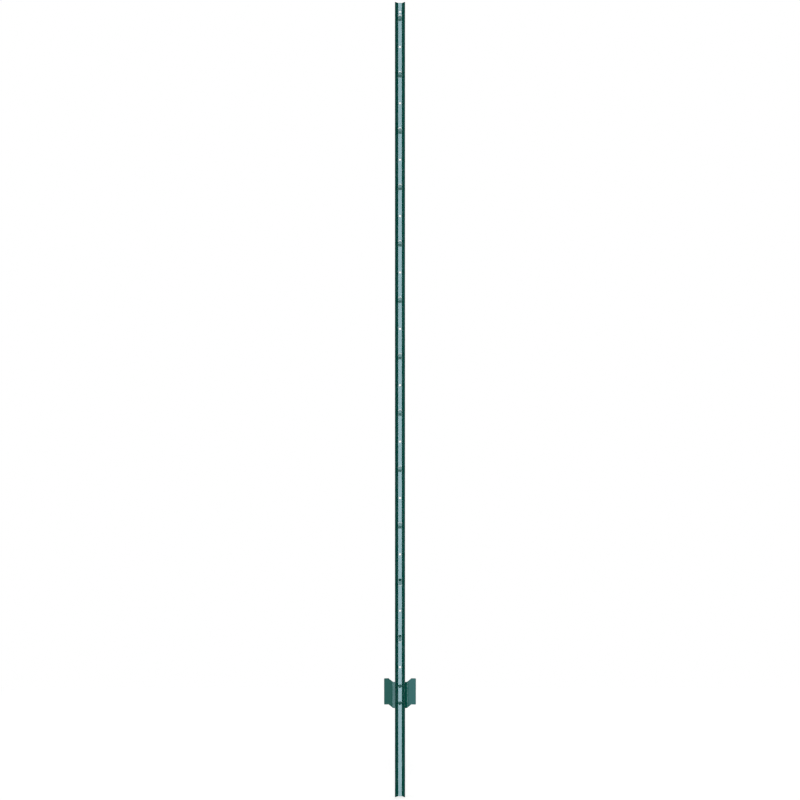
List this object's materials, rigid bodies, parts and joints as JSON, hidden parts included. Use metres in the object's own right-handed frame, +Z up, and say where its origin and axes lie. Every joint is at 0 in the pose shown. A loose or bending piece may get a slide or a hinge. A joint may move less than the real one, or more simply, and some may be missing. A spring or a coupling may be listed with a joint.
{
  "type": "steel u-channel fence post",
  "caption": "Green painted steel fence post rolled as an open channel, with wire holes and pressed hooks up its web and a winged anchor plate riveted near its foot.",
  "frame": {"origin": "middle of the web's outer face at the foot end, the end driven into the ground", "axes": "+Z up the post, +X across it, +Y out of the web's outer face, where the hooks and the anchor plate stand; the channel is open towards -Y"},
  "size_m": [0.0858, 0.0262, 2.134],
  "materials": {
    "post_coat": "gloss",
    "plate_coat": "gloss",
    "rivet_coat": "gloss"
  },
  "bodies": {
    "root": {"post_channel": "post_coat", "anchor_plate": "plate_coat", "upper_rivet": "rivet_coat", "lower_rivet": "rivet_coat"}
  },
  "joints": []
}
